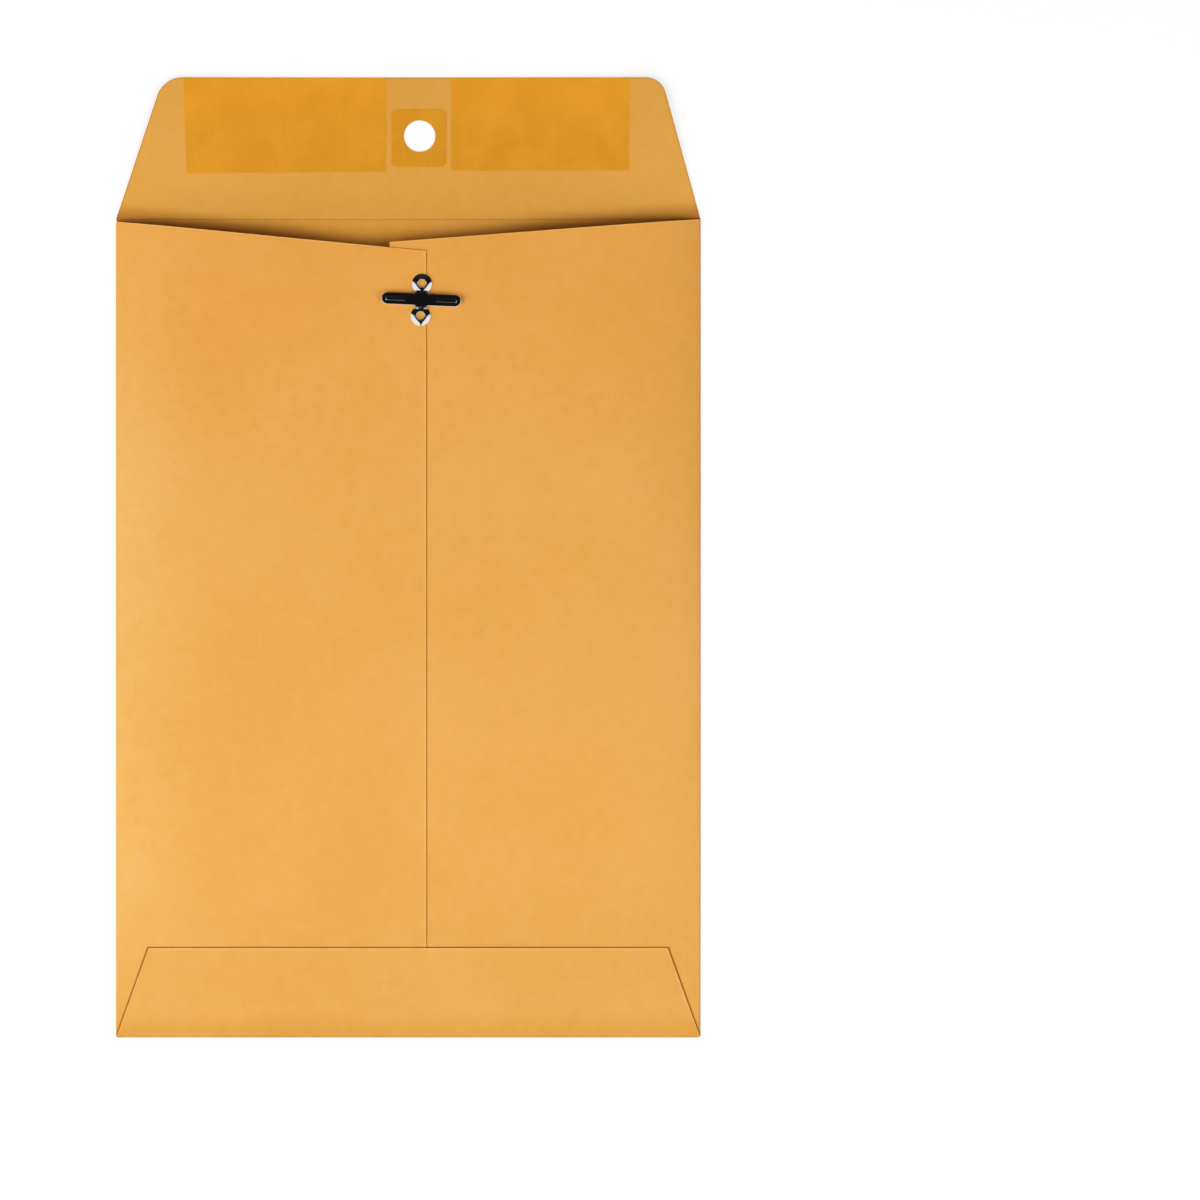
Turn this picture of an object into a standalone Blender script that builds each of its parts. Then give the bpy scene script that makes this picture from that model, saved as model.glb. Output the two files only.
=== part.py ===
"""Kraft paper clasp envelope, lying on its address face with the closure flap open.

Units are metres. +X runs to the right, +Y toward the closure flap and +Z up through the clasp.
The origin is the middle of the address face. The paper is one folded blank, modelled as one
panel on each side of every crease, and the pocket gapes a little, as it does when it is opened.
"""
import math

import bmesh
import bpy

MM = 0.001

# Paper
PAPER = 0.16 * MM
PLY_GAP = 0.12 * MM
CREASE_GAP = 0.1 * MM

# Body: the front panel and the pocket behind it
BODY_WIDTH = 190.5 * MM
BODY_HEIGHT = 266.7 * MM
GAPE = 5.1 * MM
SIDE_POWER = 8.0
DEPTH_POWER = 2.8

# Back panels: the left one laps over the right one, and both are cut away at the mouth
LEFT_PANEL_EDGE = 5.9 * MM
RIGHT_PANEL_EDGE = -5.9 * MM
LEFT_CORNER_DROP = 0.8 * MM
LEFT_PANEL_DROP = 10.6 * MM
RIGHT_PANEL_DROP = 7.7 * MM

# Bottom flap, folded up over both back panels
BOTTOM_FLAP_HEIGHT = 29.2 * MM
BOTTOM_FLAP_INSET = 10.5 * MM

# Glue lines inside the lap seam and under the bottom flap
GLUE = 0.04 * MM
SEAM_GLUE_INSET = 1.2 * MM
SEAM_GLUE_END = 8.0 * MM
BOTTOM_GLUE_WIDTH = 8.0 * MM
BOTTOM_GLUE_MARGIN = 4.0 * MM

# Closure flap
FLAP_HEIGHT = 46.2 * MM
FLAP_LEFT_INSET = 15.5 * MM
FLAP_RIGHT_INSET = 12.7 * MM
FLAP_LEFT_RADIUS = 8.6 * MM
FLAP_RIGHT_RADIUS = 6.7 * MM

# Clasp hole in the flap, placed from the clasp, and the patch that strengthens it
HOLE_RADIUS = 5.1 * MM
HOLE_FROM_CLASP = (-0.7 * MM, 0.6 * MM)
PATCH = 0.1 * MM
PATCH_WIDTH = 17.9 * MM
PATCH_HEIGHT = 18.8 * MM
PATCH_RADIUS = 1.8 * MM
PATCH_FROM_HOLE = (-0.3 * MM, -0.7 * MM)

# Two strips of dry gum on the flap, one on each side of the patch, from the free edge down
GUM = 0.05 * MM
FILM_GAP = 0.05 * MM
GUM_MARGIN = 0.15 * MM
GUM_RADIUS = 1.2 * MM
LEFT_GUM_WIDTH = 65.3 * MM
LEFT_GUM_DEPTH = 31.0 * MM
LEFT_GUM_TO_PATCH = 1.7 * MM
RIGHT_GUM_WIDTH = 57.9 * MM
RIGHT_GUM_DEPTH = 30.2 * MM
RIGHT_GUM_TO_PATCH = 1.5 * MM

# Clasp, stamped from tin plate
SHEET = 0.25 * MM
SHEET_EDGE = 0.06 * MM
CLASP_X = 4.4 * MM
CLASP_TO_FOLD = 26.5 * MM
CLASP_TURN = math.radians(-2.4)
PRONG_SPAN = 25.8 * MM
PRONG_WIDTH = 3.8 * MM
BEND_LINE = 2.2 * MM
BEND_GAP = 0.1 * MM
BEAD_WIDTH = 1.4 * MM
BEAD_RISE = 0.25 * MM
BEAD_EDGE = 0.2 * MM
BEAD_WALL = 0.15 * MM
BEAD_MARGIN = 1.3 * MM
NECK_WIDTH = 4.0 * MM
EYELET_PITCH = 10.5 * MM
EYELET_RADIUS = 3.25 * MM
EYELET_BORE = 1.35 * MM
EYELET_RISE = 0.65 * MM
EYELET_SEAT_GAP = 0.08 * MM
EYELET_HOLE_GAP = 0.15 * MM
CLINCH_RADIUS = 2.4 * MM
FLAP_CLEARANCE = 0.12 * MM

# Number of flat facets on curved shapes
PANEL_COLUMNS = 24
PANEL_ROWS = 18
CORNER_STEPS = 8
HOLE_STEPS = 48
EYELET_STEPS = 36
DOME_STEP = 30

# Colours
KRAFT = (0.85, 0.43, 0.096)
KRAFT_INNER = (0.72, 0.346, 0.063)
DRY_GUM = (0.72, 0.305, 0.023)
GLUE_LINE = (0.55, 0.42, 0.22)
TIN = (0.78, 0.79, 0.80)

# Places that follow from the sizes above
HALF_WIDTH = BODY_WIDTH / 2
FOLD_Y = BODY_HEIGHT / 2
BOTTOM_Y = -BODY_HEIGHT / 2
PLY = PAPER + PLY_GAP
CLASP_Y = FOLD_Y - CLASP_TO_FOLD
HOLE_X = CLASP_X + HOLE_FROM_CLASP[0]
HOLE_TO_FOLD = CLASP_TO_FOLD + HOLE_FROM_CLASP[1]
PATCH_X = HOLE_X + PATCH_FROM_HOLE[0]
PATCH_TO_FOLD = HOLE_TO_FOLD + PATCH_FROM_HOLE[1]


def ramp(start, end, value):
    """Smooth step from 0 at start to 1 at end, level beyond both."""
    share = min(max((value - start) / (end - start), 0.0), 1.0)
    return share * share * (3 - 2 * share)


def gape(x, y):
    """Height of the open pocket: nothing at the side and bottom creases, most at the mouth."""
    across = min(abs(x) / HALF_WIDTH, 1.0)
    from_mouth = min(max((FOLD_Y - y) / BODY_HEIGHT, 0.0), 1.0)
    return GAPE * (1 - across**SIDE_POWER) * (1 - from_mouth**DEPTH_POWER)


def right_level(x, y):
    """Height of the right back panel's inner face."""
    return PLY + gape(x, y)


def left_level(x, y):
    """Height of the left back panel's inner face, which climbs one ply to lap over the right panel."""
    return right_level(x, y) + PLY * ramp(-HALF_WIDTH, RIGHT_PANEL_EDGE, x)


def bottom_flap_level(x, y):
    """Height of the bottom flap's inner face, one ply over whichever back panel is on top."""
    lap = ramp(-HALF_WIDTH, RIGHT_PANEL_EDGE, x) * ramp(HALF_WIDTH, LEFT_PANEL_EDGE, x)
    return right_level(x, y) + PLY * (1 + lap)


# The clasp sits on the left panel. The flap closes between the eyelets and the prongs.
CLASP_Z = left_level(CLASP_X, CLASP_Y) + PAPER
FLAP_STACK = PAPER + FILM_GAP + PATCH
CLOSED_FLAP_Z = CLASP_Z + EYELET_RISE + FLAP_CLEARANCE + FLAP_STACK
FOLD_Z = CLOSED_FLAP_Z / 2
PRONG_TOP = CLOSED_FLAP_Z + FLAP_CLEARANCE + SHEET - CLASP_Z
TUBE_RADIUS = EYELET_BORE + SHEET
EYELET_HOLE_RADIUS = TUBE_RADIUS + EYELET_HOLE_GAP


def clear_scene():
    for scene_object in list(bpy.data.objects):
        bpy.data.objects.remove(scene_object, do_unlink=True)


def new_collection(name):
    collection = bpy.data.collections.new(name)
    bpy.context.scene.collection.children.link(collection)
    return collection


def new_empty(name, location, parent=None, turn=0.0):
    empty = bpy.data.objects.new(name, None)
    empty.location = location
    empty.rotation_euler = (0, 0, turn)
    empty.parent = parent
    envelope.objects.link(empty)
    return empty


def new_object(name, mesh, location=(0, 0, 0), parent=None, collection=None):
    mesh_object = bpy.data.objects.new(name, mesh)
    mesh_object.location = location
    mesh_object.parent = parent
    (collection or envelope).objects.link(mesh_object)
    return mesh_object


def make_guide(guide):
    """Mark an object that only shapes another one."""
    guide.hide_render = True
    guide.display_type = "WIRE"
    return guide


def finish(part, colour, roughness, metallic=0.0):
    material = bpy.data.materials.new(part.name)
    material.use_nodes = True
    shader = material.node_tree.nodes["Principled BSDF"]
    shader.inputs["Base Color"].default_value = (*colour, 1.0)
    shader.inputs["Roughness"].default_value = roughness
    shader.inputs["Metallic"].default_value = metallic
    part.data.materials.clear()
    part.data.materials.append(material)
    return part


def shade(part, angle=30):
    part.data.shade_smooth()
    part.data.set_sharp_from_angle(angle=math.radians(angle))
    return part


def combine(part, tool, operation):
    boolean = part.modifiers.new(tool.name, "BOOLEAN")
    boolean.operation = operation
    boolean.object = tool
    boolean.solver = "EXACT"


def arc(centre_x, centre_y, radius, start, turn, steps):
    """Points of an arc that starts at an angle and turns anticlockwise, both ends included."""
    angles = [start + turn * step / steps for step in range(steps + 1)]
    return [(centre_x + radius * math.cos(a), centre_y + radius * math.sin(a)) for a in angles]


def rounded_outline(corners):
    """Points of a closed outline, anticlockwise, from (x, y, corner radius) triples."""
    points = []
    for index, (x, y, radius) in enumerate(corners):
        if radius == 0:
            points.append((x, y))
            continue
        before = corners[index - 1]
        after = corners[(index + 1) % len(corners)]
        heading_in = math.atan2(y - before[1], x - before[0])
        heading_out = math.atan2(after[1] - y, after[0] - x)
        turn = (heading_out - heading_in) % math.tau
        reach = radius * math.tan(turn / 2)
        centre_x = x - reach * math.cos(heading_in) - radius * math.sin(heading_in)
        centre_y = y - reach * math.sin(heading_in) + radius * math.cos(heading_in)
        points += arc(centre_x, centre_y, radius, heading_in - math.pi / 2, turn, CORNER_STEPS)
    return points


def rectangle(left, right, bottom, top, radius=0.0):
    corners = [(left, bottom, radius), (right, bottom, radius), (right, top, radius), (left, top, radius)]
    return rounded_outline(corners)


def circle(centre_x, centre_y, radius):
    return arc(centre_x, centre_y, radius, 0, math.tau, HOLE_STEPS)[:-1]


def strip_outline(root, tip, width, round_root=False):
    """Strip along +X with a round tip, and a square or a round root."""
    half = width / 2
    points = arc(tip - half, 0, half, -math.pi / 2, math.pi, 2 * CORNER_STEPS)
    if round_root:
        return points + arc(root + half, 0, half, math.pi / 2, math.pi, 2 * CORNER_STEPS)
    return points + [(root, half), (root, -half)]


def plate_mesh(name, loops, bottom, top, edge=0.0):
    """Mesh of a flat plate between two heights. Loops after the first are holes."""
    curve = bpy.data.curves.new(name, "CURVE")
    curve.dimensions = "2D"
    curve.fill_mode = "BOTH"
    curve.extrude = (top - bottom) / 2 - edge
    curve.bevel_depth = edge
    curve.offset = -edge
    curve.bevel_resolution = 1
    for loop in loops:
        spline = curve.splines.new("POLY")
        spline.points.add(len(loop) - 1)
        for point, (x, y) in zip(spline.points, loop):
            point.co = (x, y, 0, 1)
        spline.use_cyclic_u = True
    curve_object = bpy.data.objects.new(name, curve)
    bpy.context.scene.collection.objects.link(curve_object)
    depsgraph = bpy.context.evaluated_depsgraph_get()
    mesh = bpy.data.meshes.new_from_object(curve_object.evaluated_get(depsgraph))
    mesh.name = name
    bpy.data.objects.remove(curve_object, do_unlink=True)
    bpy.data.curves.remove(curve)
    sheet = bmesh.new()
    sheet.from_mesh(mesh)
    bmesh.ops.remove_doubles(sheet, verts=sheet.verts, dist=1e-6)
    bmesh.ops.recalc_face_normals(sheet, faces=sheet.faces)
    bmesh.ops.translate(sheet, verts=sheet.verts, vec=(0, 0, (bottom + top) / 2))
    sheet.to_mesh(mesh)
    sheet.free()
    return mesh


def curved_sheet(name, left, right, bottom, top, level, thickness, columns, rows):
    """A sheet whose lower face follows a height function.

    left and right give x for a share of the height, top gives y for an x, and bottom is a y.
    """
    grid = bmesh.new()
    bmesh.ops.create_grid(grid, x_segments=columns, y_segments=rows, size=0.5)
    for vertex in grid.verts:
        across = vertex.co.x + 0.5
        up = vertex.co.y + 0.5
        x = left(up) + (right(up) - left(up)) * across
        y = bottom + (top(x) - bottom) * up
        vertex.co = (x, y, level(x, y))
    mesh = bpy.data.meshes.new(name)
    grid.to_mesh(mesh)
    grid.free()
    sheet = new_object(name, mesh)
    solidify = sheet.modifiers.new("thickness", "SOLIDIFY")
    solidify.thickness = thickness
    solidify.offset = 1.0
    return sheet


def build_front_panel():
    bpy.ops.mesh.primitive_cube_add(size=1, location=(0, -CREASE_GAP / 2, PAPER / 2))
    panel = bpy.context.object
    panel.name = "front_panel"
    panel.scale = (BODY_WIDTH, BODY_HEIGHT - CREASE_GAP, PAPER)
    bpy.ops.object.transform_apply(location=False, rotation=False, scale=True)
    for collection in panel.users_collection:
        collection.objects.unlink(panel)
    envelope.objects.link(panel)
    finish(panel, KRAFT, 0.62)


def left_panel_top(x):
    share = (x + HALF_WIDTH) / (LEFT_PANEL_EDGE + HALF_WIDTH)
    return FOLD_Y - LEFT_CORNER_DROP - (LEFT_PANEL_DROP - LEFT_CORNER_DROP) * share


def right_panel_top(x):
    share = (HALF_WIDTH - x) / (HALF_WIDTH - RIGHT_PANEL_EDGE)
    return FOLD_Y - RIGHT_PANEL_DROP * share


def build_back_panels(eyelet_cutters):
    left = curved_sheet(
        "left_back_panel", lambda up: -HALF_WIDTH, lambda up: LEFT_PANEL_EDGE,
        BOTTOM_Y, left_panel_top, left_level, PAPER, PANEL_COLUMNS, PANEL_ROWS,
    )
    right = curved_sheet(
        "right_back_panel", lambda up: RIGHT_PANEL_EDGE, lambda up: HALF_WIDTH,
        BOTTOM_Y, right_panel_top, right_level, PAPER, PANEL_COLUMNS, PANEL_ROWS,
    )
    for panel in (left, right):
        for cutter in eyelet_cutters:
            combine(panel, cutter, "DIFFERENCE")
        shade(finish(panel, KRAFT, 0.62))


def build_bottom_flap():
    flap = curved_sheet(
        "bottom_flap",
        lambda up: -HALF_WIDTH + BOTTOM_FLAP_INSET * up, lambda up: HALF_WIDTH - BOTTOM_FLAP_INSET * up,
        BOTTOM_Y, lambda x: BOTTOM_Y + BOTTOM_FLAP_HEIGHT,
        bottom_flap_level, PAPER, 2 * PANEL_COLUMNS, PANEL_ROWS // 4,
    )
    shade(finish(flap, KRAFT, 0.62))


def build_glue():
    """Thin glue films, each in the middle of the gap between the plies that it joins."""
    lift = (PLY_GAP - GLUE) / 2
    nearest_eyelet = CLASP_X - EYELET_PITCH / 2 * abs(math.sin(CLASP_TURN)) - EYELET_HOLE_RADIUS
    seam = curved_sheet(
        "seam_glue",
        lambda up: RIGHT_PANEL_EDGE + SEAM_GLUE_INSET, lambda up: nearest_eyelet - SEAM_GLUE_INSET,
        BOTTOM_Y + SEAM_GLUE_END, lambda x: left_panel_top(x) - SEAM_GLUE_END,
        lambda x, y: right_level(x, y) + PAPER + lift, GLUE, 2, PANEL_ROWS,
    )
    band_top = BOTTOM_Y + BOTTOM_FLAP_HEIGHT - BOTTOM_GLUE_MARGIN
    band_half = HALF_WIDTH - BOTTOM_FLAP_INSET - BOTTOM_GLUE_MARGIN
    bottom = curved_sheet(
        "bottom_flap_glue", lambda up: -band_half, lambda up: band_half,
        band_top - BOTTOM_GLUE_WIDTH, lambda x: band_top,
        lambda x, y: bottom_flap_level(x, y) - lift - GLUE, GLUE, 2 * PANEL_COLUMNS, 2,
    )
    for glue in (seam, bottom):
        shade(finish(glue, GLUE_LINE, 0.4))


def build_flap():
    """Closure flap with its gum and patch, hung on the fold line."""
    fold = new_empty("flap_fold", (0, FOLD_Y, FOLD_Z))
    outline = rounded_outline([
        (-HALF_WIDTH, CREASE_GAP, 0),
        (HALF_WIDTH, CREASE_GAP, 0),
        (HALF_WIDTH - FLAP_RIGHT_INSET, FLAP_HEIGHT, FLAP_RIGHT_RADIUS),
        (-HALF_WIDTH + FLAP_LEFT_INSET, FLAP_HEIGHT, FLAP_LEFT_RADIUS),
    ])
    hole = circle(HOLE_X, HOLE_TO_FOLD, HOLE_RADIUS)
    sheet = plate_mesh("closure_flap", [outline, hole], -FOLD_Z, PAPER - FOLD_Z)
    finish(new_object("closure_flap", sheet, parent=fold), KRAFT_INNER, 0.62)

    film = PAPER + FILM_GAP - FOLD_Z
    patch_left = PATCH_X - PATCH_WIDTH / 2
    patch_right = PATCH_X + PATCH_WIDTH / 2
    patch_bottom = PATCH_TO_FOLD - PATCH_HEIGHT / 2
    square = rectangle(patch_left, patch_right, patch_bottom, patch_bottom + PATCH_HEIGHT, PATCH_RADIUS)
    patch = plate_mesh("hole_patch", [square, hole], film, film + PATCH)
    finish(new_object("hole_patch", patch, parent=fold), DRY_GUM, 0.4)

    left_end = patch_left - LEFT_GUM_TO_PATCH
    right_end = patch_right + RIGHT_GUM_TO_PATCH
    build_gum("gum_left", left_end - LEFT_GUM_WIDTH, left_end, LEFT_GUM_DEPTH, film, fold)
    build_gum("gum_right", right_end, right_end + RIGHT_GUM_WIDTH, RIGHT_GUM_DEPTH, film, fold)


def build_gum(name, left, right, depth, film, fold):
    top = FLAP_HEIGHT - GUM_MARGIN
    strip = rectangle(left, right, top - depth, top, GUM_RADIUS)
    mesh = plate_mesh(name, [strip], film, film + GUM)
    finish(new_object(name, mesh, parent=fold), DRY_GUM, 0.3)


def dome(half, rise, first, last):
    """Points over the eyelet's rim, between two angles from its outer foot, in degrees."""
    crown = (EYELET_RADIUS + EYELET_BORE) / 2
    step = DOME_STEP if last > first else -DOME_STEP
    angles = [math.radians(angle) for angle in range(first, last + step, step)]
    return [(crown + half * math.cos(a), EYELET_SEAT_GAP + rise * math.sin(a)) for a in angles]


def eyelet_profile():
    """Section of one drawn eyelet: a domed rim, a tube through both plies and a clinch under them."""
    half = (EYELET_RADIUS - EYELET_BORE) / 2
    rise = EYELET_RISE - EYELET_SEAT_GAP
    clinch_top = -PLY - PAPER - EYELET_SEAT_GAP
    clinch_bottom = clinch_top - SHEET
    rim_outside = dome(half, rise, 90, 0)
    rim_inside = dome(half - SHEET, rise - SHEET, 0, 180)
    clinch = [
        (TUBE_RADIUS, clinch_top + SHEET_EDGE),
        (TUBE_RADIUS + SHEET_EDGE, clinch_top),
        (CLINCH_RADIUS, clinch_top - SHEET_EDGE),
        (CLINCH_RADIUS, clinch_bottom),
        (TUBE_RADIUS, clinch_bottom),
        (EYELET_BORE, clinch_bottom + SHEET),
    ]
    mouth = dome(half, rise, 180, 90 + DOME_STEP)
    return rim_outside + rim_inside + clinch + mouth


def build_eyelet(name, y, seat):
    points = eyelet_profile()
    mesh = bpy.data.meshes.new(name)
    edges = [(index, (index + 1) % len(points)) for index in range(len(points))]
    mesh.from_pydata([(radius, 0, height) for radius, height in points], edges, [])
    eyelet = make_guide(new_object(name, mesh, (0, y, 0), seat, guides))
    screw = eyelet.modifiers.new("turn", "SCREW")
    screw.steps = EYELET_STEPS
    screw.render_steps = EYELET_STEPS
    screw.use_merge_vertices = True
    screw.merge_threshold = 1e-6
    return eyelet


def build_eyelet_cutter(name, y, seat):
    """Round hole through both back panels for one eyelet's tube."""
    depth = 4 * (PLY + SHEET)
    mesh = bpy.data.meshes.new(name)
    drum = bmesh.new()
    bmesh.ops.create_cone(
        drum, cap_ends=True, segments=EYELET_STEPS,
        radius1=EYELET_HOLE_RADIUS, radius2=EYELET_HOLE_RADIUS, depth=depth,
    )
    drum.to_mesh(mesh)
    drum.free()
    return make_guide(new_object(name, mesh, (0, y, -PLY), seat, guides))


def neck_outline():
    """Side view of the strip between the eyelets: raised in the middle to carry the prongs."""
    crest = PRONG_WIDTH / 2
    foot = (EYELET_PITCH - EYELET_RADIUS - EYELET_BORE) / 2
    foot_top = EYELET_RISE - SHEET_EDGE
    foot_bottom = EYELET_RISE - SHEET + SHEET_EDGE
    lower_crest = crest - SHEET / 2
    return [
        (-foot, foot_bottom),
        (-lower_crest, PRONG_TOP - SHEET),
        (lower_crest, PRONG_TOP - SHEET),
        (foot, foot_bottom),
        (foot, foot_top),
        (crest, PRONG_TOP),
        (-crest, PRONG_TOP),
        (-foot, foot_top),
    ]


def build_clasp_base(seat):
    neck = plate_mesh("clasp_base", [neck_outline()], -NECK_WIDTH / 2, NECK_WIDTH / 2)
    base = new_object("clasp_base", neck, parent=seat)
    base.rotation_euler = (math.pi / 2, 0, math.pi / 2)
    for name, side in (("upper_eyelet", 1), ("lower_eyelet", -1)):
        combine(base, build_eyelet(name, side * EYELET_PITCH / 2, seat), "UNION")
    shade(finish(base, TIN, 0.15, 1.0))


def build_prong(name, side, seat):
    """Prong that bends up about the line where it leaves the neck. Its bead is pressed up from below."""
    length = PRONG_SPAN / 2 - BEND_LINE
    blank = plate_mesh(name, [strip_outline(BEND_GAP, length, PRONG_WIDTH)], -SHEET, 0, SHEET_EDGE)
    prong = new_object(name, blank, (side * BEND_LINE, 0, PRONG_TOP), seat)
    prong.rotation_euler = (0, 0, 0 if side > 0 else math.pi)
    start = BEAD_MARGIN
    end = length - BEAD_MARGIN
    bead = strip_outline(start, end, BEAD_WIDTH, True)
    hollow = strip_outline(start + BEAD_WALL, end - BEAD_WALL, BEAD_WIDTH - 2 * BEAD_WALL, True)
    rib = plate_mesh(name + "_rib", [bead], -BEAD_RISE, BEAD_RISE, BEAD_EDGE)
    groove = plate_mesh(name + "_groove", [hollow], -2 * SHEET, BEAD_RISE - SHEET, SHEET_EDGE)
    for mesh, operation in ((rib, "UNION"), (groove, "DIFFERENCE")):
        tool = make_guide(new_object(mesh.name, mesh, parent=prong, collection=guides))
        combine(prong, tool, operation)
    shade(finish(prong, TIN, 0.15, 1.0))


def build_clasp(seat):
    build_clasp_base(seat)
    build_prong("clasp_prong_left", -1, seat)
    build_prong("clasp_prong_right", 1, seat)


clear_scene()
envelope = new_collection("clasp_envelope")
guides = new_collection("guides")
clasp_seat = new_empty("clasp_seat", (CLASP_X, CLASP_Y, CLASP_Z), turn=CLASP_TURN)
eyelet_holes = [
    build_eyelet_cutter("upper_eyelet_hole", EYELET_PITCH / 2, clasp_seat),
    build_eyelet_cutter("lower_eyelet_hole", -EYELET_PITCH / 2, clasp_seat),
]
build_front_panel()
build_back_panels(eyelet_holes)
build_bottom_flap()
build_glue()
build_flap()
build_clasp(clasp_seat)
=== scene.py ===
"""Looks of the kraft clasp envelope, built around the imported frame.

Units are metres, in the frame of the part: +X to the right, +Y toward the closure flap, +Z up
through the clasp. The paper pieces are thin sheets that run round their creases, and the clasp
is a stamped sheet with two drawn eyelets and two prongs that bend.
"""
import math

import bmesh
import bpy
from mathutils import Matrix, Vector, noise
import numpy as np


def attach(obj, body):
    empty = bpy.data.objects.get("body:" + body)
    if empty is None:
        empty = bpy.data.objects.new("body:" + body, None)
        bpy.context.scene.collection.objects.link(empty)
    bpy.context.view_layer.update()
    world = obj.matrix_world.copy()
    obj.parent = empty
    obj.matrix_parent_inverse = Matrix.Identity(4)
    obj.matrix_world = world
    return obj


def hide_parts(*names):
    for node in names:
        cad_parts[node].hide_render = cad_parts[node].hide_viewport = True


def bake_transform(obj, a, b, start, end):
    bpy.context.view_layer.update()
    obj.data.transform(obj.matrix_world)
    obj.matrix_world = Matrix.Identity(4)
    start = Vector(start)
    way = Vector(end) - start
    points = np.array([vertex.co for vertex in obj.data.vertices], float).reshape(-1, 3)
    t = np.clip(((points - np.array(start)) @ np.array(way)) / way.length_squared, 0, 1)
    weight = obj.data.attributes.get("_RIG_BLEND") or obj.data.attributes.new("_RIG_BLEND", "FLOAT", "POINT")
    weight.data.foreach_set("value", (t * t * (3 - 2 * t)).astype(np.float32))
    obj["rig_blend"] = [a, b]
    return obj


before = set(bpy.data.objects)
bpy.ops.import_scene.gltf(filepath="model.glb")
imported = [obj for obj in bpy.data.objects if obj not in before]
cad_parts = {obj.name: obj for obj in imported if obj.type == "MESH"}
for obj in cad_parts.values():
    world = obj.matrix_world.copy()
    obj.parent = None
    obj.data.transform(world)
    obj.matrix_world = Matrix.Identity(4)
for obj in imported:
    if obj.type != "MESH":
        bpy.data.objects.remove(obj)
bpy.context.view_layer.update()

MM = 0.001

# Sizes of the part, the same as in its source
PAPER = 0.16 * MM
PLY = 0.28 * MM
HALF_WIDTH = 95.25 * MM
BODY_HEIGHT = 266.7 * MM
FOLD_Y = BODY_HEIGHT / 2
BOTTOM_Y = -BODY_HEIGHT / 2
GAPE = 5.1 * MM
SIDE_POWER = 8.0
DEPTH_POWER = 2.8
LAP = 5.9 * MM
LEFT_CORNER_DROP = 0.8 * MM
LEFT_PANEL_DROP = 10.6 * MM
RIGHT_PANEL_DROP = 7.7 * MM
BOTTOM_FLAP_HEIGHT = 29.2 * MM
BOTTOM_FLAP_INSET = 10.5 * MM
FLAP_TOP = FOLD_Y + 46.2 * MM
FLAP_LEFT_INSET = 15.5 * MM
FLAP_RIGHT_INSET = 12.7 * MM
FLAP_LEFT_RADIUS = 8.6 * MM
FLAP_RIGHT_RADIUS = 6.7 * MM
HOLE_CENTRE = (3.7 * MM, FOLD_Y + 27.1 * MM)
HOLE_RADIUS = 5.1 * MM
PATCH_CENTRE = (3.4 * MM, FOLD_Y + 26.4 * MM)
PATCH_SIZE = (17.9 * MM, 18.8 * MM)
PATCH_RADIUS = 1.8 * MM
CLASP_TURN = math.radians(-2.4)
CLASP_PLACE = (4.4 * MM, 106.85 * MM, 5.812 * MM)
SHEET = 0.25 * MM
PRONG_TOP = 1.45 * MM
PRONG_REACH = 12.9 * MM
PRONG_HALF = 1.9 * MM
EYELET_HEIGHT = 0.65 * MM
EYELET_PITCH = 10.5 * MM
EYELET_RADIUS = 3.25 * MM
EYELET_BORE = 1.35 * MM
EYELET_HOLE_RADIUS = 1.75 * MM
EYELET_SEAT = 0.08 * MM
CLINCH_RADIUS = 2.4 * MM
CLINCH_BOTTOM = -0.77 * MM

# How the paper lies
SIDE_FOLD_RADIUS = (PLY + PAPER) / 2
FLAP_BEND_HALF = 2.0 * MM
CREASE_DEPTH = 0.1 * MM
CREASE_HALF = 0.45 * MM
FLAP_CURL = 2.0 * MM
CURL_POWER = 2.8
CURL_START = 4.0 * MM
CURL_END = 42.0 * MM
PANEL_END_GAP = 0.5 * MM
BOTTOM_FLAP_END_GAP = 0.2 * MM
CUT_DEPTH = 2.0 * MM

# How free edges lift, and where the bottom flap and the clasp hold them down
EDGE_LIFT = 0.12 * MM
LIFT_REACH = 1.8 * MM
LIFT_FADE = 4.0 * MM
CLASP_HELD = 8.0 * MM
CLASP_FREE = 16.0 * MM
SIDE_LIFT_START = 0.05
SIDE_LIFT_FULL = 0.3

# Films on the flap, with slightly uneven edges
FILM = 0.06 * MM
PATCH_FILM = 0.1 * MM
FILM_SINK = 0.02 * MM
FILM_CELL = 2.5 * MM
OUTLINE_STEP = 1.5 * MM
GUM_WOBBLE = 0.22 * MM
PATCH_WOBBLE = 0.1 * MM
WOBBLE_PITCH = 3.0 * MM
WOBBLE_SEED = 4

# Corners of the gum strips, anticlockwise from the lower left: x, y and corner radius
GUM_TOP = FLAP_TOP - 0.15 * MM
LEFT_GUM_CORNERS = [
    (-72.3 * MM, FOLD_Y + 14.9 * MM, 1.2 * MM), (-7.25 * MM, FOLD_Y + 15.5 * MM, 0.8 * MM),
    (-7.25 * MM, GUM_TOP, 0.2 * MM), (-73.2 * MM, GUM_TOP, 0.2 * MM),
]
RIGHT_GUM_CORNERS = [
    (13.9 * MM, FOLD_Y + 15.8 * MM, 1.2 * MM), (72.0 * MM, FOLD_Y + 15.8 * MM, 0.6 * MM),
    (72.0 * MM, GUM_TOP, 0.2 * MM), (13.9 * MM, GUM_TOP, 0.2 * MM),
]

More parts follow.
